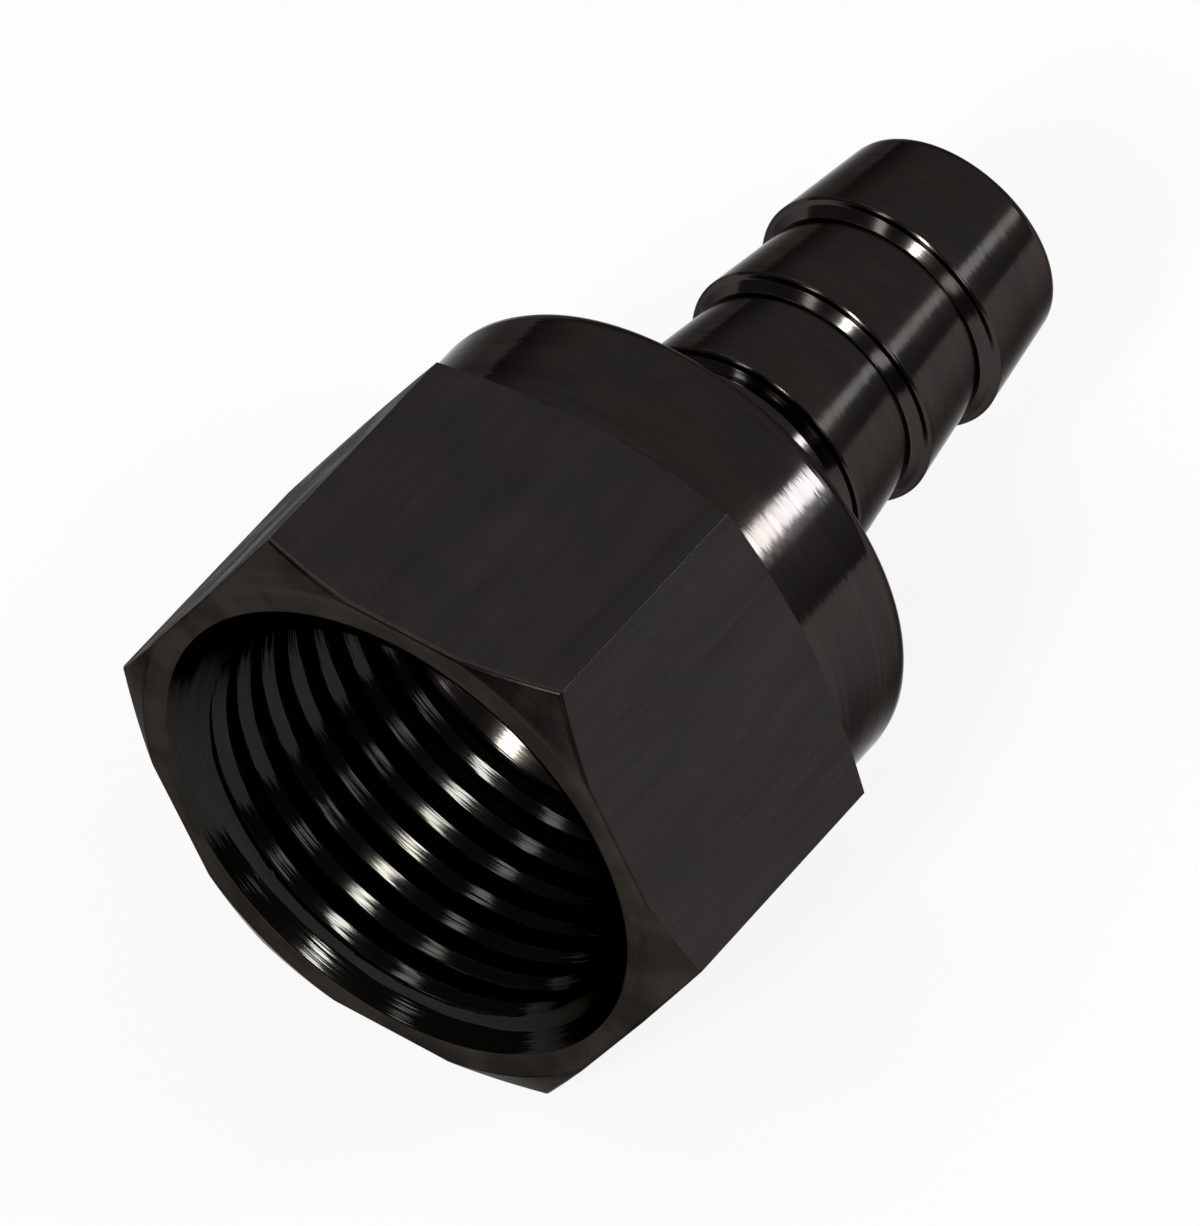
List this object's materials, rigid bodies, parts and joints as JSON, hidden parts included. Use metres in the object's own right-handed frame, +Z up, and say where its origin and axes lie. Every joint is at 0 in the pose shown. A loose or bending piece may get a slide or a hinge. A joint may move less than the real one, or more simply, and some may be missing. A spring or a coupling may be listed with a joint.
{
  "type": "swivel hose barb fitting",
  "caption": "Straight swivel hose fitting: a hexagon union nut with an internal thread turns freely on a one-piece barbed hose tail, with a flat seal washer inside.",
  "frame": {"origin": "on the ground under the middle of the fitting's length, with the nut lying on one of its flats", "axes": "+X along the fitting's axis from the mouth of the nut to the tip of the hose tail, +Z up through the nut's upper flat"},
  "size_m": [0.0314, 0.022, 0.019],
  "materials": {
    "nut_plating": "black nickel plate over turned brass, drawn flats",
    "stem_plating": "black nickel plate over turned brass",
    "washer_rubber": "matt black moulded rubber"
  },
  "bodies": {
    "nut": {"swivel_nut": "nut_plating"},
    "tail": {"hose_stem": "stem_plating", "seat_washer": "washer_rubber"}
  },
  "joints": [
    {"name": "swivel", "type": "hinge", "parent": "nut", "child": "tail", "pos_m": [0, 0, 0.0095], "axis": [1, 0, 0], "continuous": true}
  ]
}
